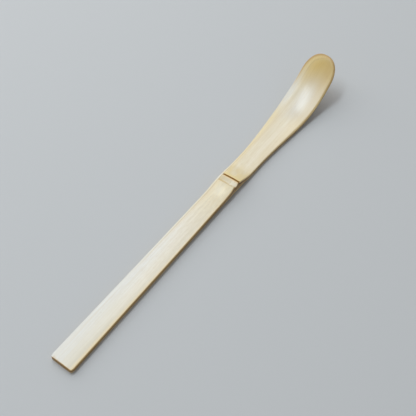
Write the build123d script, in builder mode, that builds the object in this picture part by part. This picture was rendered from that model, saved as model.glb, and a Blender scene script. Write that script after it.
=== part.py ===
from build123d import *
import os
from math import cos, radians, sin

# Tea scoop: one strip of bamboo, lying skin side up on a table.
# X runs from the cut butt end to the tip, Y lies across the strip and Z points up.
# The origin is on the table, under the middle of the scoop's length and width.
# Sizes are in millimetres and angles in degrees.

# Lengths along the underside, from the butt end to the tip
handle_length = 103.8
node_length = 3.5
stem_length = 31.9
tip_run = 5.7

# The steamed bend: a gentle start, the main curl and a gentle finish
lead_in_radius = 122.0
lead_in_angle = 5.0
bend_radius = 40.0
bend_angle = 32.0
lead_out_radius = 72.0
lead_out_angle = 7.0

# Widths across the strip
butt_width = 10.8
neck_width = 9.6
waist_width = 9.4
ring_width = 9.6
shoulder_width = 9.7
stem_width = 10.2
bowl_width = 16.1

# Thicknesses from the belly to the edge of the skin
butt_thickness = 2.6
neck_thickness = 2.9
stem_thickness = 2.5
tip_thickness = 1.4

# Where the widths change, measured along the strip, and how full the round of the tip is
node_foot = 9.0
shoulder_fade = 8.0
flare_start = 13.7
flare_end = 57.2
tip_round = 11.2
tip_fullness = 2.25

# The node: a swollen ring, a raised band and a scar line cut across it
node_rise = 0.9
ring_swell = 0.15
scar_width = 0.6
scar_depth = 0.3

# The skin side: crowned on the handle, hollowed along the scoop, with pared edges
handle_crown = 0.2
bowl_hollow = 0.5
bevel_width = 0.9
bevel_depth = 0.35
rim_width = 1.7
rim_depth = 0.45

# The underside: rounded, arched under the node and pared flat where it rests
belly = 0.3
under_chamfer = 0.3
rest_cut = 0.15
arch_height = 0.5
arch_start = 55.0
heel_length = 18.0
butt_chamfer = 0.3

# How finely each lofted span is sampled
span_stations = 5
bend_stations = 11
tip_stations = 8
last_tip_angle = 5.0

scar_place = handle_length + node_length
bend_place = scar_place + stem_length
foot_place = handle_length - node_foot


def ease(share):
    """Smooth step from 0 to 1, flat at both ends."""
    share = min(max(share, 0.0), 1.0)
    return share * share * (3 - 2 * share)


def blend(start, end, share):
    """Value that eases from start to end."""
    return start + (end - start) * ease(share)


def spread(start, end, count):
    """Evenly spaced distances, with both ends."""
    return [start + (end - start) * step / (count - 1) for step in range(count)]


# The underside seen from the side, x along the strip and y up
with BuildLine() as underside:
    ground = Line((0, -rest_cut), (arch_start, -rest_cut))
    arch_top = (handle_length + node_length / 2, arch_height - rest_cut)
    heel_place = (bend_place - heel_length, -rest_cut)
    climb = Spline(ground @ 1, arch_top, tangents=((1, 0), (1, 0)))
    fall = Spline(climb @ 1, heel_place, tangents=((1, 0), (1, 0)))
    heel = Line(fall @ 1, (bend_place, -rest_cut))
    lead_in = JernArc(heel @ 1, heel % 1, lead_in_radius, lead_in_angle)
    bend = JernArc(lead_in @ 1, lead_in % 1, bend_radius, bend_angle)
    lead_out = JernArc(bend @ 1, bend % 1, lead_out_radius, lead_out_angle)
    PolarLine(lead_out @ 1, tip_run, direction=lead_out % 1)

underside_line = underside.wire()
strip_length = underside_line.length
reach = underside_line.bounding_box().size.X


def station_plane(distance):
    """Plane square to the underside line, its x across the strip and its y up through it."""
    spot = underside_line.position_at(distance, PositionMode.LENGTH)
    run = underside_line.tangent_at(distance, PositionMode.LENGTH)
    return Plane((spot.X - reach / 2, 0, spot.Y), x_dir=(0, 1, 0), z_dir=(run.X, 0, run.Y))


def strip_section(distance, width, thickness, crown, rim=0.0, narrowing=1.0, inset=0.0):
    """Outline across the strip: rounded belly, upright sides, pared edges and a curved skin."""
    half = width / 2 - inset
    base = half - under_chamfer * narrowing
    skin = half - blend(bevel_width, rim_width, rim) * narrowing
    top = thickness - inset
    shoulder = top - blend(bevel_depth, rim_depth, rim)
    low = belly + inset
    corner = low + under_chamfer
    with BuildSketch(station_plane(distance)) as section:
        with BuildLine():
            Bezier((-base, low), (0, low - 2 * belly), (base, low))
            Polyline((base, low), (half, corner), (half, shoulder), (skin, top))
            Bezier((skin, top), (0, top + 2 * crown), (-skin, top))
            Polyline((-skin, top), (-half, shoulder), (-half, corner), (-base, low))
        make_face()
    return section.sketch


def handle_section(distance, inset=0.0):
    """Handle: tapers evenly from the butt to the neck, then draws in and climbs to the node."""
    foot = (distance - foot_place) / node_foot
    width = butt_width + (neck_width - butt_width) * min(distance / foot_place, 1)
    width += blend(0, waist_width - neck_width, foot)
    thickness = butt_thickness + (neck_thickness - butt_thickness) * distance / handle_length
    thickness += blend(0, node_rise, foot)
    return strip_section(distance, width, thickness, handle_crown, inset=inset)


def node_section(share, width, swell):
    """Node: a raised band between the swollen ring and the scar line."""
    thickness = neck_thickness + node_rise + swell
    return strip_section(handle_length + node_length * share, width, thickness, handle_crown)


def scoop_section(distance, narrowing=1.0):
    """Scoop: a shoulder that fades into the stem, then the flare to the hollowed, rimmed bowl."""
    along = distance - scar_place
    flare = (along - flare_start) / (flare_end - flare_start)
    width = blend(shoulder_width, stem_width, along / shoulder_fade)
    width += blend(0, bowl_width - stem_width, flare)
    thinning = (distance - bend_place) / (strip_length - bend_place)
    thickness = blend(stem_thickness, tip_thickness, thinning)
    thickness += blend(neck_thickness + node_rise - stem_thickness, 0, along / shoulder_fade)
    crown = blend(handle_crown, 0, along / flare_start) - blend(0, bowl_hollow, flare)
    return strip_section(distance, width * narrowing, thickness, crown * narrowing, flare, narrowing)


# Handle: the pale length from the cut butt end to the faint ring
with BuildPart() as handle:
    loft([handle_section(0, butt_chamfer), handle_section(butt_chamfer)])
    handle_spans = [butt_chamfer, arch_start, foot_place, handle_length]
    for start, end in zip(handle_spans, handle_spans[1:]):
        loft([handle_section(distance) for distance in spread(start, end, span_stations)])
    split(bisect_by=Plane.XY, keep=Keep.TOP)

# Node: the raised band, drawn in at its far end by the scar line
with BuildPart() as node_band:
    scar_share = 1 - scar_width / node_length
    loft(
        [
            node_section(0, ring_width, 0),
            node_section(scar_share / 2, ring_width, ring_swell),
            node_section(scar_share, ring_width, 0),
            node_section(1, waist_width, -scar_depth),
        ]
    )

# Scoop: the shoulder, the stem, the bend and the rounded tip
with BuildPart() as scoop:
    tip_place = strip_length - tip_round
    shoulder_end = scar_place + shoulder_fade
    loft([scoop_section(distance) for distance in spread(scar_place, shoulder_end, span_stations)])
    loft([scoop_section(distance) for distance in spread(shoulder_end, bend_place, span_stations)])
    loft([scoop_section(distance) for distance in spread(bend_place, tip_place, bend_stations)])
    tip_sections = []
    for angle in spread(90, last_tip_angle, tip_stations):
        distance = strip_length - tip_round * (1 - cos(radians(angle)) ** (2 / tip_fullness))
        tip_sections.append(scoop_section(distance, sin(radians(angle)) ** (2 / tip_fullness)))
    loft(tip_sections)
    split(bisect_by=Plane.XY, keep=Keep.TOP)

handle.part.label = "handle"
node_band.part.label = "node_band"
scoop.part.label = "scoop"

os.makedirs("parts", exist_ok=True)
export_step(handle.part, "parts/handle.step")
export_step(node_band.part, "parts/node_band.step")
export_step(scoop.part, "parts/scoop.step")
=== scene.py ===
# %% [markdown]
# # A bamboo tea scoop, dressed cell by cell
#
# The real scoop is one strip of bamboo. A maker splits it from the stalk with the skin still on, bends one
# end over steam and pares the rest with a knife. The solids that are loaded here hold its true size. They
# could be shown as they are, but their faces are too coarse for a satin sheen. So the cells below rebuild
# each length of the strip as a fine mesh over the same line, then give it the finish of real bamboo.

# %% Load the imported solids
from math import cos, pi, radians, sin
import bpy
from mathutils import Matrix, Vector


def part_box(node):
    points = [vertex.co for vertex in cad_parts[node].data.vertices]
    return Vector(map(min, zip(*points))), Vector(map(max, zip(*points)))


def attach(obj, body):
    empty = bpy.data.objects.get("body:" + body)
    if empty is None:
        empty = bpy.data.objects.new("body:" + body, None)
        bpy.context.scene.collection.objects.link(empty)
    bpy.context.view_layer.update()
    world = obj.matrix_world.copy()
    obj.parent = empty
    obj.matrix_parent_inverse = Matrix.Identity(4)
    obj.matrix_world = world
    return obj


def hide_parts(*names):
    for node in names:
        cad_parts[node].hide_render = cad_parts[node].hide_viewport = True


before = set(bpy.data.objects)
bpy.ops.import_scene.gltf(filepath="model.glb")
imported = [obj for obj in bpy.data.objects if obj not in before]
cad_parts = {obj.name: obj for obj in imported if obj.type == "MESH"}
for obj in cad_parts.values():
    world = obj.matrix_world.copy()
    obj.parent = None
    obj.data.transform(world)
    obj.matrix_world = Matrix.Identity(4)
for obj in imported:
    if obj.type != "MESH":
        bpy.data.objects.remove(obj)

from types import SimpleNamespace

import bpy
import numpy as np
from mathutils import Vector

MM = 0.001
scene = bpy.context.scene
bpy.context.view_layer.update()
print("solids:", ", ".join(sorted(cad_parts)))

# %% [markdown]
# ## Where the viewer stands
#
# The scoop lies diagonally, seen from above its butt end. A camera could be placed by eye, but the outline
# of a plain strip shows every degree of error. So the camera is written as a turn round the scoop, a height
# above the table and a distance, and those numbers were fitted to the outline.

# %% Camera
view_turn = radians(52.836)
view_height = radians(55.115)
view_distance = 366.42 * MM
view_target = Vector((0.44, -0.04, 0.0)) * MM
near_limit = 10 * MM
picture_side = 416
focal_pixels = 866
sensor_width = 36.0

upward = Vector((0, 0, 1))
view_right = Vector((cos(view_turn), -sin(view_turn), 0))
view_away = Vector((sin(view_turn), cos(view_turn), 0))
sight = view_away * cos(view_height) - upward * sin(view_height)

camera_data = bpy.data.cameras.new("camera")
camera_data.sensor_width = sensor_width
camera_data.lens = sensor_width * focal_pixels / picture_side
camera_data.clip_start = near_limit
camera = bpy.data.objects.new("camera", camera_data)
camera.location = view_target - sight * view_distance
camera.rotation_euler = sight.to_track_quat("-Z", "Y").to_euler()
scene.collection.objects.link(camera)
scene.camera = camera
print("lens:", round(camera_data.lens, 2), "mm, camera at", [round(v, 3) for v in camera.location])

# %% [markdown]
# ## Colours and nodes in plain words
#
# Every finish below is a small tree of shader nodes. Each node could be written out where it is needed, but
# that takes five or six lines. These helpers let a cell read like a recipe instead: a sum, a soft mask, a
# mix of two colours, a colour laid over another.


# %% Helpers for colours and nodes
def paint(red, green, blue):
    """Linear colour of an 8-bit screen colour, by the sRGB curve."""
    shares = [channel / 255 for channel in (red, green, blue)]
    return (*[s / 12.92 if s <= 0.04045 else ((s + 0.055) / 1.055) ** 2.4 for s in shares], 1.0)


def plug(tree, value, socket):
    """Links a socket to an input, or sets the input to a plain value."""
    if isinstance(value, bpy.types.NodeSocket):
        tree.links.new(value, socket)
    else:
        socket.default_value = value


def add(tree, kind, inputs=None, **properties):
    """New node with its properties set and its named inputs plugged."""
    node = tree.nodes.new("ShaderNode" + kind)
    for name, value in properties.items():
        setattr(node, name, value)
    for name, value in (inputs or {}).items():
        plug(tree, value, node.inputs[name])
    return node


def calc(tree, operation, *values):
    """Result of one sum over the values."""
    return add(tree, "Math", dict(enumerate(values)), operation=operation).outputs[0]


print("a screen grey of 128 is", round(paint(128, 128, 128)[0], 3), "in linear light")


# %% Helpers for masks and mixes
def fade(tree, value, start, end):
    """Mask that eases from 0 where the value is at start to 1 where it is at end."""
    inputs = {"Value": value, "From Min": start, "From Max": end}
    return add(tree, "MapRange", inputs, interpolation_type="SMOOTHSTEP").outputs[0]


def ramp(tree, value, start, end, low, high):
    """Number that runs evenly from low where the value is at start to high where it is at end."""
    inputs = {"Value": value, "From Min": start, "From Max": end, "To Min": low, "To Max": high}
    return add(tree, "MapRange", inputs).outputs[0]


def outside(tree, mask):
    """Mask of all that a mask leaves out."""
    return calc(tree, "SUBTRACT", 1.0, mask)


# A mix node has sockets for each kind of data, so those for colours are told by their numbers.
MIX_MASK, MIX_FIRST, MIX_SECOND, MIX_RESULT = 0, 6, 7, 2


def mix(tree, mask, first, second):
    """Colour that goes from the first to the second with the mask."""
    inputs = {MIX_MASK: mask, MIX_FIRST: first, MIX_SECOND: second}
    return add(tree, "Mix", inputs, data_type="RGBA").outputs[MIX_RESULT]


def lay(tree, under, over, mask, share):
    """Colour with another laid over it where the mask is, as strongly as the share says."""
    return mix(tree, calc(tree, "MULTIPLY", mask, share), under, over)


print("colour sockets of a mix node:", MIX_FIRST, "and", MIX_SECOND)

# %% [markdown]
# ## Floor and light
#
# The scoop lies on a pale surface in soft light. A broad, faintly warm window stands behind it on the left,
# so its left edge shines and its right side falls into shadow. A long narrow lamp overhead, a little blue,
# puts the soft gleam into the bend. One lamp could not do both, because each gleam needs a light at its own
# mirror angle. The power of a lamp is worked out from the level that it should add to a white sheet on the
# floor. Lamps and sky together come to about one, so a colour renders about as it is written. Far from the
# scoop the floor fades out, because its hard edge would show against the sky in a low view.

# %% Floor
floor_reach = 3.0
floor_solid = 0.45
floor_gone = 1.3
floor_gap = 0.02 * MM
floor_grey = paint(206, 208, 210)
floor_roughness = 0.9

floor_mesh = bpy.data.meshes.new("floor")
floor_corners = [(-1, -1), (1, -1), (1, 1), (-1, 1)]
floor_points = [(x * floor_reach, y * floor_reach, -floor_gap) for x, y in floor_corners]
floor_mesh.from_pydata(floor_points, [], [range(4)])
floor = bpy.data.objects.new("floor", floor_mesh)
scene.collection.objects.link(floor)

floor_paint = bpy.data.materials.new("floor_paint")
floor_paint.use_nodes = True
floor_tree = floor_paint.node_tree
floor_shader = floor_tree.nodes["Principled BSDF"]
floor_place = add(floor_tree, "NewGeometry").outputs["Position"]
floor_distance = add(floor_tree, "VectorMath", {0: floor_place}, operation="LENGTH").outputs["Value"]
plug(floor_tree, fade(floor_tree, floor_distance, floor_gone, floor_solid), floor_shader.inputs["Alpha"])
floor_shader.inputs["Base Color"].default_value = floor_grey
floor_shader.inputs["Roughness"].default_value = floor_roughness
floor_mesh.materials.append(floor_paint)
print("floor:", floor_reach * 2, "m wide, solid for", floor_solid, "m round the scoop")


# %% Lamps
def towards(right, away, up):
    """Direction in the viewer's own terms, one unit long."""
    return (view_right * right + view_away * away + upward * up).normalized()


def soft_lamp(name, direction, level, distance, size, tint):
    """Flat lamp that lights a white sheet on the floor at the given level."""
    lamp_data = bpy.data.lights.new(name, "AREA")
    lamp_data.shape = "RECTANGLE"
    lamp_data.size, lamp_data.size_y = size
    lamp_data.color = tint
    lamp_data.energy = level * (pi * distance) ** 2 / direction.z
    lamp = bpy.data.objects.new(name, lamp_data)
    lamp.location = direction * distance
    lamp.rotation_euler = (-direction).to_track_quat("-Z", "Y").to_euler()
    scene.collection.objects.link(lamp)
    print(name, round(lamp_data.energy, 2), "W")


window_tint = (1.0, 0.985, 0.96)
window_direction = towards(right=-0.42, away=0.55, up=0.72)
soft_lamp("window", window_direction, level=0.58, distance=1.0, size=(1.4, 1.4), tint=window_tint)

overhead_tint = (0.82, 0.94, 1.0)
overhead_direction = towards(right=-0.27, away=0.14, up=0.95)
soft_lamp("overhead", overhead_direction, level=0.22, distance=0.9, size=(0.56, 0.1), tint=overhead_tint)

# %% Sky
sky_tint = (0.96, 0.98, 1.0, 1.0)
sky_level = 0.28
seen_level = 0.7

scene.world = bpy.data.worlds.new("sky")
scene.world.use_nodes = True
sky_tree = scene.world.node_tree
sky_tree.nodes.clear()
ray = add(sky_tree, "LightPath").outputs
seen = calc(sky_tree, "MAXIMUM", ray["Is Camera Ray"], ray["Is Glossy Ray"])
seen = calc(sky_tree, "MAXIMUM", seen, ray["Is Transmission Ray"])
strength = ramp(sky_tree, seen, 0.0, 1.0, sky_level, seen_level)
sky = add(sky_tree, "Background", {"Color": sky_tint, "Strength": strength})
add(sky_tree, "OutputWorld", {"Surface": sky.outputs[0]})
scene.view_settings.view_transform = "Standard"
print("sky level:", sky_level, "as light,", seen_level, "as seen")

# %% [markdown]
# ## The line of the strip
#
# Everything on the scoop is measured along its underside: first straight, then arched a little under the
# node, then bent up in one steamed curl. The line could be drawn as a curve object, but a worked-out line
# gives the height and the tilt at any distance, which the mesh cells need. The curl is three arcs whose
# joins are evened out, because a bent fibre has no sudden change of curve and a sheen would show one.

# %% Lengths and the bend
handle_length = 103.8
node_length = 3.5
stem_length = 31.9
tip_run = 5.6
bend_arcs = [(122.0, 5.0), (40.0, 32.0), (72.0, 7.0)]
bend_softness = 3.0
arch_start = 55.0
arch_height = 0.5
heel_length = 18.0
rest_cut = 0.15

ring_place = handle_length
scar_place = ring_place + node_length
bend_place = scar_place + stem_length
arch_top = ring_place + node_length / 2
heel_place = bend_place - heel_length

arc_places = [0.0, bend_place]
arc_turns = [0.0, 0.0]
for radius, angle in bend_arcs:
    arc_places.append(arc_places[-1] + radius * radians(angle))
    arc_turns.append(arc_turns[-1] + radians(angle))
strip_length = arc_places[-1] + tip_run
print("strip:", round(strip_length, 2), "mm along its underside")


# %% Walk along the underside
def ease(share):
    """Smooth step from 0 to 1, flat at both ends."""
    share = np.clip(share, 0.0, 1.0)
    return share * share * (3 - 2 * share)


def travelled(paces):
    """How far a walk has come before each of its paces."""
    return np.concatenate([[0.0], np.cumsum(paces[:-1])])


walk_step = 0.05
walk = np.arange(0.0, strip_length + walk_step, walk_step)
evening = int(bend_softness / walk_step)
weights = np.full(2 * evening + 1, 1 / (2 * evening + 1))
turn = np.pad(np.interp(walk, arc_places, arc_turns), evening, mode="edge")
turn = np.convolve(turn, weights, mode="valid")
climb = ease((walk - arch_start) / (arch_top - arch_start))
fall = ease((walk - arch_top) / (heel_place - arch_top))
arch = arch_height * (climb - fall)

butt_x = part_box("handle")[0].x / MM
line_x = butt_x + travelled(np.cos(turn)) * walk_step
line_z = arch - rest_cut + travelled(np.sin(turn)) * walk_step
line_tilt = turn + np.gradient(arch, walk_step)


def strip_point(along, across, up):
    """Place in mm of a strip point. Nothing goes below the table, so the resting faces come out flat."""
    tilt = np.interp(along, walk, line_tilt)
    x = np.interp(along, walk, line_x) - up * np.sin(tilt)
    z = np.interp(along, walk, line_z) + up * np.cos(tilt)
    return np.stack(np.broadcast_arrays(x, across, np.maximum(z, 0.0)), axis=-1)


print("tip of the line at", round(line_x[-1], 2), round(line_z[-1], 2), "mm")

# %% [markdown]
# ## Width and thickness
#
# Seen from above, the strip tapers from the butt to the node, is nicked by the knife at the two growth
# lines, and flares to the bowl, whose end is a little fuller than half an ellipse. Seen from the side it
# climbs to the node and thins to the tip. It could be modelled by pulling points, but then no two lengths
# would agree where they meet. Each size here is a small function of the distance along the strip, so the
# ends of the three pieces meet exactly.


# %% Rounded corners
def rounding(distance, radius):
    """Drop of a quarter-round corner at a distance from its edge."""
    return radius * (1 - np.sqrt(1 - (1 - np.clip(distance / radius, 0, 1)) ** 2))


def soft_ramp(value, softness):
    """Zero below nought and the value itself above, with a rounded corner between."""
    corner = (np.clip(value, -softness, softness) + softness) ** 2 / (4 * softness)
    return np.where(value > softness, value, corner)


print("half way into a 1 mm corner the drop is", round(float(rounding(0.5, 1.0)), 3), "mm")

# %% Outline from above
butt_width = 10.8
neck_width = 9.6
stem_width = 10.2
bowl_width = 15.8
butt_corner = 1.2
node_foot = 9.0
shoulder_fade = 8.0
flare_start = scar_place + 13.7
flare_end = scar_place + 57.2
tip_round = 11.2
tip_fullness = 2.25
tip_place = strip_length - tip_round
bowl_lean = 0.15


def flare(along):
    """Share of the way from the stem's form to the bowl's."""
    return ease((along - flare_start) / (flare_end - flare_start))


def half_width(along):
    """Half of the strip's width at the lower edge of its sides, before the tip is rounded."""
    taper = np.clip(along / (ring_place - node_foot), 0, 1)
    width = butt_width + (neck_width - butt_width) * taper
    width = width + (stem_width - neck_width) * ease((along - scar_place) / shoulder_fade)
    width = width + (bowl_width - stem_width) * flare(along)
    return width / 2 - rounding(along, butt_corner)


def lean(along):
    """Sideways lean of the bowl, which no hand pares quite even."""
    return bowl_lean * flare(along)


print("half width at grip, ring and bowl:", half_width(np.array([ring_place / 2, ring_place, tip_place])))

# %% Knife nicks at the node
ring_notch = 0.36
ring_run_in = 3.2
ring_run_out = 0.15 * node_length
scar_notch = 0.62
scar_run_in = 0.8 * node_length
scar_run_out = 0.25
shoulder_notch = 0.22
shoulder_run_out = 2.6
left_share = 0.05


def notch(along):
    """How far the top right edge is drawn in beside the two growth lines."""
    past_ring = along - ring_place
    past_scar = along - scar_place
    before = ring_notch * ease(1 + past_ring / ring_run_in) * (past_ring <= 0)
    band = ring_notch * (1 - ease(past_ring / ring_run_out))
    band = band + scar_notch * ease(1 + past_scar / scar_run_in)
    band = band * (past_ring > 0) * (past_scar <= 0)
    after = shoulder_notch * (1 - ease(past_scar / shoulder_run_out))
    after = after + (scar_notch - shoulder_notch) * (1 - ease(past_scar / scar_run_out))
    return before + band + after * (past_scar > 0)


print("deepest nick:", round(float(notch(walk).max()), 2), "mm")

# %% Slant of the growth lines
node_slant = 0.045
slant_fade = 20.0


def slant(along):
    """How much further along a point lies for each mm to the left. The growth lines slope a little."""
    before = ease((along - ring_place + slant_fade) / slant_fade)
    after = ease((along - scar_place) / slant_fade)
    return -node_slant * (before - after)


print("slope of the growth lines:", round(float(slant(np.array(arch_top))), 3))

# %% Thickness and crown
butt_thickness = 2.6
neck_thickness = 2.9
stem_thickness = 2.5
tip_thickness = 1.4
node_rise = 0.9
ring_swell = 0.12
handle_crown = 0.2
bowl_hollow = 0.5
hollow_fade = 14.0


def thickness(along):
    """Height of the skin's edge above the underside line."""
    neck = butt_thickness + (neck_thickness - butt_thickness) * np.minimum(along / ring_place, 1)
    neck = neck + node_rise * ease((along - ring_place + node_foot) / node_foot)
    neck = neck + ring_swell * np.sin(pi * np.clip((along - ring_place) / node_length, 0, 1))
    thinning = ease((along - bend_place) / (strip_length - bend_place))
    stem = stem_thickness + (tip_thickness - stem_thickness) * thinning
    shoulder = neck_thickness + node_rise - stem_thickness
    stem = stem + shoulder * (1 - ease((along - scar_place) / shoulder_fade))
    return np.where(along <= scar_place, neck, stem)


def crown(along):
    """How far the middle of the skin stands over its edges. It is below them in the bowl."""
    return handle_crown * (1 - ease((along - scar_place) / hollow_fade)) - bowl_hollow * flare(along)


print("skin height at butt, node and tip:", thickness(np.array([0.0, arch_top, strip_length])))

# %% [markdown]
# ## Pared edges
#
# A knife takes the sharp arris off every edge, wider on the left than on the right, and the bevel widens to
# a rim round the bowl. Blender's bevel modifier could cut it, but it would change width where the faces do.
# Here the height of the skin simply depends on the distance to the nearest edge, so the bevel flows all the
# way round.

# %% Bevel widths
left_bevel = 0.9
right_bevel = 0.2
left_rim = 2.6
right_rim = 0.75
bevel_depth = 0.35
rim_depth = 0.45
bevel_softness = 0.5
top_round = 0.2
butt_chamfer = 0.3


def bevels(along):
    """Widths of the left and of the right bevel."""
    left = left_bevel + (left_rim - left_bevel) * flare(along)
    right = right_bevel + (right_rim - right_bevel) * flare(along)
    return left, right


print("left and right bevel by the tip:", [round(float(width), 2) for width in bevels(tip_place)])

# %% Distance to the outline
smallest = 1e-9


def edge_distance(past, across, half):
    """Distance in from the outline: two sides that meet in the full round of the tip."""
    aside = np.abs(across / half)
    reach = np.maximum(past**tip_fullness + aside**tip_fullness, smallest) ** (1 / tip_fullness)
    slope_along = (past / reach) ** (tip_fullness - 1) / tip_round
    slope_across = (aside / reach) ** (tip_fullness - 1) / half
    return np.maximum(1 - reach, 0) / np.hypot(slope_along, slope_across)


def skin_reach(past, across, half, left, right):
    """Nought in the middle of the skin and one where the bevels begin."""
    mean = (left + right) / 2
    aside = np.abs(across + (left - right) / 2) / (half - mean)
    return (past * tip_round / (tip_round - mean)) ** tip_fullness + aside**tip_fullness


sample = round(float(edge_distance(0.0, 4.0, 5.0)), 2)
print("4 mm aside on a half width of 5 mm, the edge is", sample, "mm away")

# %% Lanes across the strip
# Shares of a bevel's width, closest at the edge, where the arris is rounded.
bevel_shares = np.array([0, 0.012, 0.035, 0.08, 0.14, 0.22, 0.36, 0.54, 0.72, 0.88, 1.04, 1.25, 1.55])
middle_lanes = 13


def lanes(along, draw_in):
    """Place across of each lane, its share of the bevel, its distance from the edge and its skin reach."""
    past = np.clip((along - tip_place) / tip_round, 0, 1)
    narrowing = (1 - past**tip_fullness) ** (1 / tip_fullness)
    half = half_width(along) - draw_in * (1 + left_share) / 2
    left, right = bevels(along)
    left_lanes = (half - bevel_shares * left) * narrowing
    right_lanes = (bevel_shares * right - half) * narrowing
    steps = np.linspace(0, 1, middle_lanes + 2)[1:-1]
    core = right_lanes[:, -1:] * (1 - steps) + left_lanes[:, -1:] * steps
    across = np.concatenate([right_lanes, core, left_lanes[:, ::-1]], axis=1)
    bevel = right + (left - right) * ease(0.5 + across / half)
    pared = np.minimum(edge_distance(past, across, half) / bevel, along / butt_chamfer)
    skin = skin_reach(past, across, half, left, right)
    return across + draw_in * (1 - left_share) / 2 + lean(along), pared, pared * bevel, skin


print("lanes across:", 2 * len(bevel_shares) + middle_lanes)

# %% [markdown]
# ## Heights of skin and belly
#
# The skin side is a crown or a hollow less the bevel, with the scar and the ring cut across it. The belly
# is rounded, chamfered and scalloped, because the flesh side is pared away in long strokes. The strokes
# could be sculpted, but a formula keeps them shallow and even. Both sides are worked out from the lanes,
# so that what the knife does at an edge also follows the round of the tip.

# %% Growth lines
scar_depth = 0.3
scar_reach = 0.7
lip_reach = 0.22
lip_place = 0.55
lip_width = 0.35
lip_rise = 0.06
ring_depth = 0.07
ring_reach = 0.3


def growth_lines(along):
    """Cut of the scar line and the faint ring, with the raised lip behind the scar."""
    past = along - scar_place
    scar = scar_depth * np.where(past <= 0, ease(1 + past / scar_reach), 1 - ease(past / lip_reach))
    lip = lip_rise * np.exp(-(((past - lip_place) / lip_width) ** 2))
    ring = ring_depth * np.exp(-(((along - ring_place) / ring_reach) ** 2))
    return scar + ring - lip


print("depth of scar and ring:", [round(float(growth_lines(p)), 2) for p in (scar_place, ring_place)])

# %% Skin and belly
skin_softness = 0.15
line_start = 0.3
belly = 0.3
under_chamfer = 0.3
under_round = 0.12
stroke_depth = 0.05
stroke_width = 2.3
stroke_wander = 31.0


def skin_heights(along):
    """Across, bevel share and height of the skin side."""
    across, pared, edge, skin = lanes(along, notch(along))
    from_left = across[:, -1:] - across
    lines = growth_lines(along) * ease(from_left / left_bevel - line_start)
    depth = bevel_depth + (rim_depth - bevel_depth) * flare(along)
    up = thickness(along) + crown(along) * soft_ramp(1 - skin, skin_softness) - lines
    return across, pared, up - depth * soft_ramp(1 - pared, bevel_softness) - rounding(edge, top_round)


def belly_heights(along):
    """Across, bevel share and height of the belly, with its long knife strokes."""
    across, pared, edge, skin = lanes(along, 0 * along)
    stroke = across / stroke_width + np.sin(along / stroke_wander)
    up = belly * np.minimum(skin, 1) + stroke_depth * np.sin(pi * stroke) ** 2
    up = up + rounding(edge, under_round)
    return across, pared, up + under_chamfer * soft_ramp(1 - edge / under_chamfer, bevel_softness)


node_station = np.array([[arch_top]])
node_wall = skin_heights(node_station)[2] - belly_heights(node_station)[2]
print("thickest at the node:", round(float(node_wall.max()), 2), "mm")

# %% [markdown]
# ## From stations to a closed mesh
#
# A length of the strip is a block of points: so many stations along, lanes across and levels up. A box
# could be cut and subdivided instead, but its rows would not follow the edges. Only the six outer sheets
# of the block are kept. That gives clean rows of four-sided faces with no open edges, and every point
# keeps three notes for the finish: its place on the strip, its share of the bevel and its level between
# belly and skin.

# %% Skin of a block of points
level_count = 5
levels = np.linspace(0, 1, level_count)


def block_faces(shape):
    """Four-sided faces over the six sides of a block of points, all facing outwards."""
    index = np.arange(np.prod(shape)).reshape(shape)
    sheets = [index[:, :, -1], index[:, :, 0].T, index[:, -1].T, index[:, 0], index[-1], index[0].T]
    corners = [(s[:-1, :-1], s[1:, :-1], s[1:, 1:], s[:-1, 1:]) for s in sheets]
    return np.concatenate([np.stack(c, axis=-1).reshape(-1, 4) for c in corners])


def keep_note(mesh, name, kind, field, values):
    """Keeps one value for each point of the mesh under a name."""
    mesh.attributes.new(name, kind, "POINT").data.foreach_set(field, values.ravel())


print("a block of 2 by 2 by 2 points has", len(block_faces((2, 2, 2))), "faces")

# %% One length of the strip
sharp_degrees = 40


def strip_piece(name, places):
    """Mesh object for one length of the strip, with the notes kept on its points."""
    along = places[:, None]
    share = levels[None, None, :]
    tops = [sheet[:, :, None] * share for sheet in skin_heights(along)]
    lows = [sheet[:, :, None] * (1 - share) for sheet in belly_heights(along)]
    across, pared, up = [high + low for high, low in zip(tops, lows)]
    along = np.broadcast_to(along[:, :, None], up.shape)
    level = np.broadcast_to(share, up.shape)
    kept, faces = np.unique(block_faces(up.shape), return_inverse=True)
    points = strip_point(along + slant(along) * across, across, up).reshape(-1, 3)[kept] * MM
    place = np.stack([along, across, up], axis=-1).reshape(-1, 3)[kept]

    mesh = bpy.data.meshes.new(name)
    mesh.from_pydata(points.tolist(), [], faces.reshape(-1, 4).tolist())
    keep_note(mesh, "strip_place", "FLOAT_VECTOR", "vector", place)
    keep_note(mesh, "pared", "FLOAT", "value", pared.ravel()[kept])
    keep_note(mesh, "level", "FLOAT", "value", level.ravel()[kept])
    mesh.shade_smooth()
    mesh.set_sharp_from_angle(angle=radians(sharp_degrees))
    mesh.validate()
    piece = bpy.data.objects.new(name, mesh)
    scene.collection.objects.link(piece)
    print(name, len(mesh.vertices), "points,", len(mesh.polygons), "faces")
    return piece


print("edges over", sharp_degrees, "degrees stay sharp")

# %% [markdown]
# ## The three lengths of bamboo
#
# The handle, the band of the node and the scoop are one strip on the real thing. One mesh with three
# finishes could show that too, but a mesh for each length can stand for the solid of that length. Stations
# are close together where the shape changes quickly, at the butt, the growth lines and the round of the
# tip, and further apart along the plain handle.

# %% Where the stations are dense
plain_start = 1.5
foot_place = ring_place - node_foot
ring_side = ring_place - 1.0
scar_side = scar_place - 0.9
lip_end = scar_place + 1.2
shoulder_end = scar_place + shoulder_fade

plain_gap = 1.0
foot_gap = 0.4
ring_gap = 0.1
scar_gap = 0.05
shoulder_gap = 0.3
stem_gap = 0.8
bowl_gap = 0.5
tip_count = 48
tip_first_turn = 90
tip_last_turn = 4
place_digits = 6
print("gaps between stations from", scar_gap, "to", plain_gap, "mm")


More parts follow.
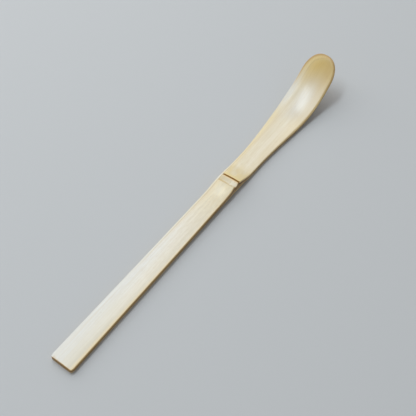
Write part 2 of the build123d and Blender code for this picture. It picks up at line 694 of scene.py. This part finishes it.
# %% Stations
def stations(*stretches):
    """Distances along the strip from stretches of (start, end, spacing), each place once."""
    parts = [np.linspace(start, end, round((end - start) / gap) + 1) for start, end, gap in stretches]
    return np.unique(np.round(np.concatenate(parts), place_digits))


butt_stations = bevel_shares * butt_chamfer
neck_stations = stations(
    (plain_start, foot_place, plain_gap),
    (foot_place, ring_side, foot_gap),
    (ring_side, ring_place, ring_gap),
)
handle_stations = np.concatenate([butt_stations, neck_stations])

node_stations = stations((ring_place, scar_side, ring_gap), (scar_side, scar_place, scar_gap))

stem_stations = stations(
    (scar_place, lip_end, scar_gap),
    (lip_end, shoulder_end, shoulder_gap),
    (shoulder_end, bend_place, stem_gap),
    (bend_place, tip_place, bowl_gap),
)
tip_turns = np.radians(np.linspace(tip_first_turn, tip_last_turn, tip_count))[1:]
tip_stations = strip_length - tip_round * (1 - np.cos(tip_turns) ** (2 / tip_fullness))
scoop_stations = np.concatenate([stem_stations, tip_stations])
print("stations:", len(handle_stations), len(node_stations), len(scoop_stations))

# %% Make the pieces
pieces = {
    "handle": strip_piece("bamboo_handle", handle_stations),
    "node_band": strip_piece("bamboo_node", node_stations),
    "scoop": strip_piece("bamboo_scoop", scoop_stations),
}
for node, piece in pieces.items():
    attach(piece, "root")
    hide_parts(node)

# %% [markdown]
# ## What bamboo is made of
#
# A bamboo wall is pale pith with long dark bundles of fibre in it, packed tight under a thin hard skin.
# All three lengths of the scoop show the same marks of growth and of the knife. Each finish could draw
# them anew, but one shader group for each mark is built once and takes other values in each finish. The
# groups read the notes on the mesh, which bend with the strip as real fibre does.


# %% A group with named sockets
def effect(name, inputs, outputs):
    """New shader group: gives the group, its incoming sockets and its outgoing sockets."""
    group = bpy.data.node_groups.new(name, "ShaderNodeTree")
    for label, kind in inputs.items():
        group.interface.new_socket(label, in_out="INPUT", socket_type="NodeSocket" + kind)
    for label in outputs:
        group.interface.new_socket(label, in_out="OUTPUT", socket_type="NodeSocketFloat")
    print("group:", name, "puts out", ", ".join(outputs))
    return group, group.nodes.new("NodeGroupInput").outputs, group.nodes.new("NodeGroupOutput").inputs


def stretched(tree, place, length, width):
    """Place divided by a length along the strip and a width across it."""
    size = add(tree, "CombineXYZ", {"X": length, "Y": width, "Z": width}).outputs[0]
    return add(tree, "VectorMath", {0: place, 1: size}, operation="DIVIDE").outputs[0]


def noise(tree, place, detail=2.0, roughness=0.5):
    """Cloudy value from about 0.2 to 0.8 over the place."""
    inputs = {"Vector": place, "Scale": 1.0, "Detail": detail, "Roughness": roughness}
    return add(tree, "TexNoise", inputs).outputs[0]


print("shader groups so far:", len(bpy.data.node_groups))

# %% [markdown]
# ### Fibre under the skin
#
# Straight fibres run the whole length of the strip, so its tone changes in long streaks. A wave texture
# could draw stripes, but they would be even and endless. Noise that is stretched along the strip gives
# streaks that start and stop. A broad kind tints the skin, and a fine kind draws single threads.

# %% Fibre under the skin
fine_length = 0.6
fine_width = 0.22
fine_noise_detail = 4.0
fine_noise_roughness = 0.6
broad_span = (0.34, 0.66)
fine_span = (0.3, 0.7)

fibre, given, result = effect(
    "Fibre streaks", {"Place": "Vector", "Length": "Float", "Width": "Float"}, ["Broad", "Fine"]
)
wide = stretched(fibre, given["Place"], given["Length"], given["Width"])
thin_length = calc(fibre, "MULTIPLY", given["Length"], fine_length)
thin_width = calc(fibre, "MULTIPLY", given["Width"], fine_width)
thin = stretched(fibre, given["Place"], thin_length, thin_width)
plug(fibre, fade(fibre, noise(fibre, wide), *broad_span), result["Broad"])
threads = noise(fibre, thin, fine_noise_detail, fine_noise_roughness)
plug(fibre, fade(fibre, threads, *fine_span), result["Fine"])

# %% [markdown]
# ### Bundles on a cut face
#
# Where the wall is cut, the fibre shows as dark bundles, thin near the belly and stout under the skin. Each
# could be a tube of its own, but there are hundreds. Cells that are scattered and drawn out along the strip
# look the same, and every cell has a number of its own for its tone.


# %% Bundles on a cut face
def scatter(tree, place):
    """Scattered cells over the place: the distance from the middle of each, and its own number."""
    cells = add(tree, "TexVoronoi", {"Vector": place, "Scale": 1.0, "Randomness": 1.0}).outputs
    return cells["Distance"], add(tree, "SeparateColor", {"Color": cells["Color"]}).outputs[0]


bundle_length = 24.0
bundle_width = 0.3
belly_girth = 0.42
skin_girth = 0.66
core_share = 0.4

flesh, given, result = effect("Fibre bundles", {"Place": "Vector", "Level": "Float"}, ["Bundle", "Tone"])
distance, number = scatter(flesh, stretched(flesh, given["Place"], bundle_length, bundle_width))
girth = ramp(flesh, given["Level"], 0.0, 1.0, belly_girth, skin_girth)
core_girth = calc(flesh, "MULTIPLY", girth, core_share)
plug(flesh, fade(flesh, distance, girth, core_girth), result["Bundle"])
plug(flesh, number, result["Tone"])

# %% [markdown]
# ### Border that the knife left
#
# Where the knife went through the skin there is a thin brown line, with a warm rim inside it and the bare
# bevel outside. It could be drawn at a fixed distance from the edge, but a border cut by hand wavers and
# widens with the bevel. So the masks follow the share of the bevel that the mesh keeps, with a ripple.

# %% Border that the knife left
noise_middle = 0.5


def ripple(tree, place, length, width, detail=2.0):
    """Slow waver to both sides of nought."""
    cloud = noise(tree, stretched(tree, place, length, width), detail)
    return calc(tree, "SUBTRACT", cloud, noise_middle)


border_ripple = (7.0, 1.5)
top_levels = (0.97, 0.995)
line_span = (0.22, 0.04)
rim_span = (2.6, 0.6)
edge_span = (0.6, 0.1)

border, given, result = effect(
    "Knife border",
    {"Place": "Vector", "Pared": "Float", "Level": "Float", "Waver": "Float", "Softness": "Float"},
    ["Top", "Skin", "Line", "Rim", "Edge"],
)
wavering = ripple(border, given["Place"], *border_ripple)
pared_here = calc(border, "MULTIPLY_ADD", wavering, given["Waver"], given["Pared"])
offset = calc(border, "ABSOLUTE", calc(border, "SUBTRACT", pared_here, 1.0))
skin_start = calc(border, "SUBTRACT", 1.0, given["Softness"])
skin_full = calc(border, "ADD", 1.0, given["Softness"])
masks = {
    "Skin": fade(border, pared_here, skin_start, skin_full),
    "Line": fade(border, offset, *line_span),
    "Rim": fade(border, pared_here, *rim_span),
    "Edge": fade(border, given["Pared"], *edge_span),
}
top_face = fade(border, given["Level"], *top_levels)
plug(border, top_face, result["Top"])
for label, mask in masks.items():
    plug(border, calc(border, "MULTIPLY", top_face, mask), result[label])

# %% [markdown]
# ### Line where growth paused
#
# A faint ring and a dark scar mark where the stalk stopped and grew on. They could be two straight stripes,
# but those would look printed. Here a line wanders a little as it crosses the fibre.

# %% Line where growth paused
pause_ripple = (4.0, 0.9)
pause_detail = 3.0
line_core = 0.35

pause, given, result = effect(
    "Growth line", {"Place": "Vector", "At": "Float", "Reach": "Float", "Waver": "Float"}, ["Line"]
)
along_here = add(pause, "SeparateXYZ", {"Vector": given["Place"]}).outputs["X"]
wavering = ripple(pause, given["Place"], *pause_ripple, pause_detail)
wandering = calc(pause, "MULTIPLY_ADD", wavering, given["Waver"], along_here)
offset = calc(pause, "ABSOLUTE", calc(pause, "SUBTRACT", wandering, given["At"]))
core_reach = calc(pause, "MULTIPLY", given["Reach"], line_core)
plug(pause, fade(pause, offset, given["Reach"], core_reach), result["Line"])

# %% [markdown]
# ### Flecks in the skin
#
# Old sheath and dust leave small flecks behind. They could be painted one by one, but there are too many.
# Of the scattered cells, only those with a low number of their own become flecks, so they lie as unevenly
# as real ones.

# %% Flecks in the skin
fleck_stretch = 1.8
fleck_span = (0.45, 0.12)

flecks, given, result = effect(
    "Skin flecks", {"Place": "Vector", "Size": "Float", "Share": "Float"}, ["Fleck"]
)
fleck_length = calc(flecks, "MULTIPLY", given["Size"], fleck_stretch)
distance, number = scatter(flecks, stretched(flecks, given["Place"], fleck_length, given["Size"]))
chosen = calc(flecks, "LESS_THAN", number, given["Share"])
plug(flecks, calc(flecks, "MULTIPLY", fade(flecks, distance, *fleck_span), chosen), result["Fleck"])

# %% [markdown]
# ## One recipe for every length
#
# All three finishes start from the same nodes and end the same way: skin in the middle, a pared bevel round
# it, flesh on the sides, the belly and the butt end. Three separate materials could repeat that, but then a
# change to the flesh would have to be made three times. So one helper starts a finish, another ends it, and
# the cells between only describe the skin of their own length.

# %% Start a bamboo finish
mesh_notes = ("strip_place", "pared", "level")


def use(kit, group, **inputs):
    """Places a group in a finish, with its own values, and gives its outputs."""
    node = add(kit.tree, "Group", node_tree=group)
    for name, value in {"Place": kit.place, **inputs}.items():
        plug(kit.tree, value, node.inputs[name])
    return node.outputs


def start_bamboo(name, streak_length, streak_width, waver, softness):
    """New material with the notes of the mesh and the shared effects placed in it."""
    material = bpy.data.materials.new(name)
    material.use_nodes = True
    tree = material.node_tree
    place, pared, level = [add(tree, "Attribute", attribute_name=note).outputs for note in mesh_notes]
    kit = SimpleNamespace(material=material, tree=tree, place=place["Vector"], level=level["Fac"])
    parts = add(tree, "SeparateXYZ", {"Vector": kit.place}).outputs
    kit.along, kit.across = parts["X"], parts["Y"]
    kit.fibre = use(kit, fibre, Length=streak_length, Width=streak_width)
    kit.flesh = use(kit, flesh, Level=kit.level)
    kit.border = use(kit, border, Pared=pared["Fac"], Level=kit.level, Waver=waver, Softness=softness)
    return kit


def tell(kit, made):
    """Prints how far a finish has come."""
    print(made, "in", len(kit.tree.nodes), "nodes")


print("notes that a finish reads:", ", ".join(mesh_notes))

# %% Masks along and across
left_half = (-1.0, 1.0)
right_half = (1.0, -1.0)


def over_length(kit, start, end):
    """Mask that eases from start to end along the strip, in mm from the butt."""
    return fade(kit.tree, kit.along, start, end)


def over_width(kit, start, end):
    """Mask that eases from start to end across the strip, in mm to the left of its middle."""
    return fade(kit.tree, kit.across, start, end)


print("the left half fades in from", left_half[0], "to", left_half[1], "mm across")

# %% Flesh on the cut faces
# The brown under the skin is the flesh's own, painted darker than that as shade for the shaded cut sides.
flesh_pale = paint(222, 194, 142)
flesh_dense_shaded = paint(130, 86, 38)
flesh_line = paint(108, 68, 26)
bundle_dark = paint(86, 52, 22)
flesh_line_share = 0.38
bundle_tones = (-0.3, 0.9)


def flesh_colour(kit):
    """Pale pith at the belly, denser and darker towards the skin, partly as painted shade, with fine lines
    and dark bundles in it.
    """
    tree = kit.tree
    colour = mix(tree, kit.level, flesh_pale, flesh_dense_shaded)
    colour = lay(tree, colour, flesh_line, kit.fibre["Fine"], flesh_line_share)
    tone = fade(tree, kit.flesh["Tone"], *bundle_tones)
    return lay(tree, colour, bundle_dark, kit.flesh["Bundle"], tone)


print("fine lines darken the flesh by up to", flesh_line_share)

# %% End a bamboo finish
border_brown = paint(168, 130, 76)
left_grain = 0.16
right_grain = 0.45
skin_roughness = 0.33
fibre_roughness = 0.05
flesh_roughness = 0.55
coat_roughness = 0.22
fibre_relief = 0.012 * MM
fine_height = 0.5


def end_bamboo(kit, skin_colour, bevel_colour, border_share, relief, polish):
    """Lays flesh, bevel and skin over each other and plugs them into the shader."""
    tree = kit.tree
    skin_mask = kit.border["Skin"]
    grain_share = ramp(tree, kit.across, *left_half, right_grain, left_grain)
    bevel_colour = lay(tree, bevel_colour, border_brown, kit.fibre["Fine"], grain_share)
    colour = mix(tree, kit.border["Top"], flesh_colour(kit), bevel_colour)
    colour = mix(tree, skin_mask, colour, skin_colour)
    colour = lay(tree, colour, border_brown, kit.border["Line"], border_share)

    satin = calc(tree, "MULTIPLY_ADD", kit.fibre["Broad"], fibre_roughness, skin_roughness)
    roughening = flesh_roughness - skin_roughness
    roughness = calc(tree, "MULTIPLY_ADD", outside(tree, skin_mask), roughening, satin)

    cut_face = outside(tree, kit.border["Top"])
    height = calc(tree, "MULTIPLY_ADD", cut_face, kit.flesh["Bundle"], relief)
    height = calc(tree, "MULTIPLY_ADD", kit.fibre["Fine"], fine_height, height)
    bump = add(tree, "Bump", {"Height": height, "Strength": 1.0, "Distance": fibre_relief})

    shader = tree.nodes["Principled BSDF"]
    plug(tree, colour, shader.inputs["Base Color"])
    plug(tree, roughness, shader.inputs["Roughness"])
    plug(tree, calc(tree, "MULTIPLY", skin_mask, polish), shader.inputs["Coat Weight"])
    plug(tree, bump.outputs[0], shader.inputs["Normal"])
    shader.inputs["Coat Roughness"].default_value = coat_roughness
    print("finish:", kit.material.name, len(tree.nodes), "nodes")
    return kit.material


print("roughness of skin and flesh:", skin_roughness, "and", flesh_roughness)

# %% [markdown]
# ## Handle finish
#
# The handle is the palest length: bleached skin, golden at the right edge and a little grey at the grip,
# with a painted sheen that makes it cooler towards the butt and nearly white there on the side of the
# light. Its left bevel is painted white in the light and its right bevel tan in the shade. Soft straw
# streaks follow the fibre, and a warm border shows where the knife thinned the skin. A picture of bamboo
# could be wrapped round it, but it would bring its own light along and stretch at the ends. Layers of soft
# masks follow the strip and can be tuned one at a time.

# %% Handle tone
sheen_white = paint(240, 242, 241)
bleached_sheen_cream = paint(248, 239, 220)
node_cream = paint(244, 229, 191)
grip_grey = paint(207, 197, 174)
cream_along = (70.0, ring_place)
grip_along = (50.0, 0.0)
sheen_across = (-3.5, 4.5)
sheen_along = (ring_place, 40.0)

kit = start_bamboo("bleached_bamboo", streak_length=46.0, streak_width=1.5, waver=0.25, softness=0.15)
tree = kit.tree
# Painted sheen: the skin is cooler and paler towards the butt, and on its left there it turns nearly white.
skin = mix(tree, over_length(kit, *cream_along), bleached_sheen_cream, node_cream)
skin = mix(tree, over_length(kit, *grip_along), skin, grip_grey)
skin = lay(tree, skin, sheen_white, over_width(kit, *sheen_across), over_length(kit, *sheen_along))
tell(kit, "handle tone")

# %% Handle streaks and mottles
straw = paint(226, 217, 194)
thread = paint(204, 184, 144)
straw_share = 0.4
thread_share = 0.2
mottle_length = 3.2
mottle_width = 1.0
mottle_along = (30.0, ring_place)
mottle_shares = (0.08, 0.2)

skin = lay(tree, skin, straw, kit.fibre["Broad"], straw_share)
skin = lay(tree, skin, thread, kit.fibre["Fine"], thread_share)
mottle = use(kit, fibre, Length=mottle_length, Width=mottle_width)
skin = lay(tree, skin, thread, mottle["Broad"], ramp(tree, kit.along, *mottle_along, *mottle_shares))
tell(kit, "with streaks and mottles")

# %% Handle edges
edge_gold = paint(248, 228, 184)
amber = paint(220, 188, 130)
gold_across = (-3.5, -5.1)
border_along = (20.0, ring_place)
border_most = 0.4
butt_along = (1.5, 0.5)
amber_most = 0.65

skin = mix(tree, over_width(kit, *gold_across), skin, edge_gold)
border_share = calc(tree, "MULTIPLY", over_length(kit, *border_along), border_most)
amber_side = calc(tree, "MAXIMUM", over_width(kit, *right_half), over_length(kit, *butt_along))
amber_share = calc(tree, "MAXIMUM", border_share, calc(tree, "MULTIPLY", amber_side, amber_most))
skin = lay(tree, skin, amber, kit.border["Rim"], amber_share)
tell(kit, "with edges")

# %% Ring across the end of the handle
ring_tan = paint(206, 176, 112)
ring_across = (-2.0, 1.0)
ring_right_share = 0.4
ring_left_gain = 0.45


def ring_line(kit, skin):
    """Skin with the faint ring of the node across it, clearer on the left."""
    line = use(kit, pause, At=ring_place, Reach=0.6, Waver=0.25)["Line"]
    left = over_width(kit, *ring_across)
    share = calc(kit.tree, "MULTIPLY_ADD", left, ring_left_gain, ring_right_share)
    return lay(kit.tree, skin, ring_tan, line, share)


skin = ring_line(kit, skin)
tell(kit, "with the ring")

# %% Dust on the handle
dust_strength = 0.08
dust_along = (60.0, ring_place)
dust_shares = (0.1, 0.4)


def flecked(kit, skin, colour, strength, size, share):
    """Skin with flecks of a colour in it, and the mask of the flecks."""
    mask = use(kit, flecks, Size=size, Share=share)["Fleck"]
    return lay(kit.tree, skin, colour, mask, strength), mask


dust_share = ramp(tree, kit.along, *dust_along, *dust_shares)
skin, dust = flecked(kit, skin, border_brown, dust_strength, size=0.7, share=dust_share)
tell(kit, "with dust")

# %% Handle bevel
left_sheen_white = paint(238, 239, 234)
left_cream = paint(238, 229, 203)
right_tan = paint(214, 179, 116)
sheen_white_along = (30.0, ring_place)
butt_edge = (0.4, 0.15)
handle_polish = 0.55

# Painted light and shade: the left bevel is white towards the butt as painted sheen, and the right bevel is
# painted tan as shade.
bevel = mix(tree, over_length(kit, *sheen_white_along), left_sheen_white, left_cream)
bevel = mix(tree, over_width(kit, *left_half), right_tan, bevel)
bevel = mix(tree, over_length(kit, *butt_edge), bevel, border_brown)
handle_finish = end_bamboo(kit, skin, bevel, border_share, dust, handle_polish)

# %% [markdown]
# ## Node finish
#
# The band of the node is cream, darker on the left, with flecks of old sheath. Its far end is the dark scar
# where the sheath sat, in a golden glow. The scar stops at the left bevel, where the knife has taken it
# away. A dark stripe alone would look printed, so the mesh has the groove and the finish only colours it.
# The scoop begins at the same scar, so one helper draws it on both.

# %% Node tone
band_cream = paint(246, 235, 211)
band_straw = paint(236, 222, 192)
band_shaded = paint(216, 205, 176)
sheath_tan = paint(204, 178, 126)
shaded_across = (-4.5, 3.5)
sheath_strength = 0.45

kit = start_bamboo("banded_bamboo", streak_length=9.0, streak_width=1.1, waver=0.3, softness=0.15)
tree = kit.tree
skin = mix(tree, kit.fibre["Broad"], band_cream, band_straw)
skin = mix(tree, over_width(kit, *shaded_across), skin, band_shaded)
skin, sheath = flecked(kit, skin, sheath_tan, sheath_strength, size=0.6, share=0.4)
tell(kit, "node tone")

# %% Ring and its halo
halo_tan = paint(214, 190, 134)
halo_place = ring_place + 0.5
halo_across = (-1.5, 3.0)
halo_most = 0.55

halo = use(kit, pause, At=halo_place, Reach=2.0, Waver=0.8)["Line"]
halo_share = calc(tree, "MULTIPLY", over_width(kit, *halo_across), halo_most)
skin = lay(tree, skin, halo_tan, halo, halo_share)
skin = ring_line(kit, skin)
tell(kit, "with ring and halo")

# %% Scar of the sheath
scar_brown = paint(150, 100, 6)
scar_gold = paint(248, 208, 128)
scar_middle = scar_place - 0.2
scar_waver = 0.15
glow_share = 0.45
scar_share = 0.95


def scar_line(kit, skin):
    """Skin with the dark scar and its golden glow, and the mask of the scar."""
    glow = use(kit, pause, At=scar_middle, Reach=1.4, Waver=scar_waver)["Line"]
    scar = use(kit, pause, At=scar_middle, Reach=0.6, Waver=scar_waver)["Line"]
    skin = lay(kit.tree, skin, scar_gold, glow, glow_share)
    return lay(kit.tree, skin, scar_brown, scar, scar_share), scar


def dull_at(kit, scar, polish):
    """Polish that stops at the scar."""
    return calc(kit.tree, "MULTIPLY", outside(kit.tree, scar), polish)


skin, scar = scar_line(kit, skin)
tell(kit, "with the scar")

# %% Node bevel
band_tan = paint(216, 183, 120)
band_white = paint(241, 236, 219)
node_border = 0.5
node_polish = 0.4

# Painted light and shade: the bevel is white on the lit left and tan on the shaded right.
bevel = mix(tree, over_width(kit, *left_half), band_tan, band_white)
bevel = lay(tree, bevel, scar_brown, scar, over_width(kit, *right_half))
node_finish = end_bamboo(kit, skin, bevel, node_border, sheath, dull_at(kit, scar, node_polish))

# %% [markdown]
# ## Scoop finish
#
# The scoop is creamier than the handle. It is mottled with gold by the scar, greyer as it rises into the
# bend, and golden from there to the tip, where the steam browned it. Light and shade are painted on it too:
# the cooler grey of the bend stands in for its gleam, the flank on the left is painted paler and the bowl a
# lighter gold on the left as lit by the window, and the bevels and rims are paler on the left and tan on
# the right. A bright lip behind the scar is a painted highlight. One gold could cover it all, but steam
# browns only what it reaches. So a pale skin and a toasted one are mixed along the strip, and the marks of
# the plant and of the knife are laid over both.

# %% Pale skin of the stem
cream = paint(245, 235, 212)
cream_streak = paint(239, 228, 200)
bend_sheen_grey = paint(222, 214, 198)
edge_straw = paint(228, 207, 158)
flank_across = (0.5, 4.0)
flank_along = (bend_place + 9.0, bend_place + 16.0)
bend_sheen_along = (bend_place + 8.0, bend_place + 19.0)
lit_flank_strength = 0.9
straw_aside = (1.0, 5.0)
straw_most = 0.4

kit = start_bamboo("golden_bamboo", streak_length=34.0, streak_width=1.7, waver=0.25, softness=0.4)
tree = kit.tree
# Painted light: the grey and the straw are left off the left flank of the bend, so it stays pale as if lit.
left_side = over_width(kit, *flank_across)
lit_flank = calc(tree, "MULTIPLY", left_side, over_length(kit, *flank_along))
skin = mix(tree, kit.fibre["Broad"], cream, cream_streak)
# Painted light and shade: a cooler, greyer tone is laid over the bend where its gleam lies.
bend_sheen_share = outside(tree, calc(tree, "MULTIPLY", lit_flank, lit_flank_strength))
skin = lay(tree, skin, bend_sheen_grey, over_length(kit, *bend_sheen_along), bend_sheen_share)
straw_mask = fade(tree, calc(tree, "ABSOLUTE", kit.across), *straw_aside)
edge_share = calc(tree, "MULTIPLY", outside(tree, lit_flank), straw_most)
skin = lay(tree, skin, edge_straw, straw_mask, edge_share)
tell(kit, "pale skin")

# %% Toasted skin of the bowl
golden = paint(221, 193, 128)
golden_streak = paint(217, 187, 120)
golden_lit_left = paint(241, 207, 120)
toast_along = (strip_length - 23.0, strip_length - 3.5)
lit_left_across = (-6.0, 6.0)

toasted_skin = mix(tree, kit.fibre["Broad"], golden, golden_streak)
# Painted light: the bowl turns a lighter gold towards its left, where the window light falls.
toasted_skin = mix(tree, over_width(kit, *lit_left_across), toasted_skin, golden_lit_left)
toast = over_length(kit, *toast_along)
skin = mix(tree, toast, skin, toasted_skin)
tell(kit, "with the toasted skin")

# %% Scoop threads and mottles
golden_thread = paint(206, 178, 122)
mottle_gold = paint(242, 218, 156)
speckle_along = (scar_place, bend_place + 8.0)
speckle_shares = (0.18, 0.04)
gold_length = 7.0
gold_width = 2.2
gold_along = (scar_place + 12.0, scar_place)
gold_shares = (0.35, 0.9)

skin = lay(tree, skin, golden_thread, kit.fibre["Fine"], thread_share)
speckle = use(kit, fibre, Length=mottle_length, Width=mottle_width)
speckle_share = ramp(tree, kit.along, *speckle_along, *speckle_shares)
skin = lay(tree, skin, golden_thread, speckle["Broad"], speckle_share)
mottle = use(kit, fibre, Length=gold_length, Width=gold_width)
gold_share = ramp(tree, mottle["Broad"], 0.0, 1.0, *gold_shares)
skin = lay(tree, skin, mottle_gold, over_length(kit, *gold_along), gold_share)
tell(kit, "with threads and mottles")

# %% Scoop rim
rim_tan = paint(222, 199, 144)
rim_gold = paint(240, 217, 160)
scoop_left = (-3.0, 3.0)
bare_along = (scar_place - 10.0, bend_place + 16.0)
bare_most = 0.45
rim_most = 0.55

# Painted light and shade: the rim is gold on the lit left and tan on the shaded right.
rim_colour = mix(tree, over_width(kit, *scoop_left), rim_tan, rim_gold)
rim_bare = calc(tree, "MULTIPLY", left_side, outside(tree, toast))
rim_bare = calc(tree, "MULTIPLY", rim_bare, over_length(kit, *bare_along))
rim_share = calc(tree, "MULTIPLY_ADD", rim_bare, -bare_most, rim_most)
skin = lay(tree, skin, rim_colour, kit.border["Rim"], rim_share)
tell(kit, "with the rim")

# %% Golden lip highlight, scar and dust
lip_highlight_gold = paint(241, 222, 158)
lip_middle = scar_place + 0.6
lip_highlight_share = 0.6

# The lip's gold is the skin's own; its brightness is a painted highlight of the raised lip behind the scar.
lip = use(kit, pause, At=lip_middle, Reach=1.3, Waver=0.12)["Line"]
skin = lay(tree, skin, lip_highlight_gold, lip, lip_highlight_share)
skin, scar = scar_line(kit, skin)
skin, dust = flecked(kit, skin, border_brown, dust_strength, size=1.1, share=0.12)
tell(kit, "with lip, scar and dust")

# %% Scoop bevel
stem_cream = paint(241, 226, 188)
bend_sheen_cream = paint(238, 235, 224)
stem_tan = paint(238, 213, 158)
stem_along = (scar_place, scar_place + 14.0)
bowl_along = (bend_place + 8.0, bend_place + 24.0)

# Painted light and shade: the left bevel turns near white where the gleam lies at the bend, and the right
# bevel is painted tan as shade.
pale_bevel = mix(tree, over_length(kit, *stem_along), left_cream, stem_cream)
pale_bevel = mix(tree, over_length(kit, *bowl_along), pale_bevel, bend_sheen_cream)
pale_bevel = mix(tree, over_width(kit, *scoop_left), stem_tan, pale_bevel)
tell(kit, "with the pale bevel")

# %% Toasted bevel of the bowl
toasted_tan = paint(222, 190, 128)
toasted_gold = paint(236, 212, 150)
toasted_edge = paint(200, 164, 106)
toasted_across = (-3.0, 6.0)
scar_border_along = (bend_place, scar_place + 6.0)
toast_border = 0.16
scoop_polish = 0.78

# Painted light and shade: the toasted bevel is gold on the lit left and tan on the shaded right.
toasted_bevel = mix(tree, over_width(kit, *toasted_across), toasted_tan, toasted_gold)
bevel = mix(tree, toast, pale_bevel, toasted_bevel)
bevel = lay(tree, bevel, toasted_edge, kit.border["Edge"], toast)
stem_share = calc(tree, "MULTIPLY", over_length(kit, *scar_border_along), border_most)
border_share = calc(tree, "MAXIMUM", stem_share, calc(tree, "MULTIPLY", toast, toast_border))
scoop_finish = end_bamboo(kit, skin, bevel, border_share, dust, dull_at(kit, scar, scoop_polish))

# %% [markdown]
# ## Dressing the pieces
#
# Each length gets its own finish, and the table lists the material of the record that the finish stands
# for. One finish for all could do, but then a bleached grip could not meet a browned tip.

# %% Finishes on the pieces
finishes = {
    "handle": (handle_finish, "handle_bamboo"),
    "node_band": (node_finish, "node_bamboo"),
    "scoop": (scoop_finish, "scoop_bamboo"),
}
for node, (finish, slot) in finishes.items():
    pieces[node].data.materials.append(finish)
    print(pieces[node].name, "wears", finish.name)
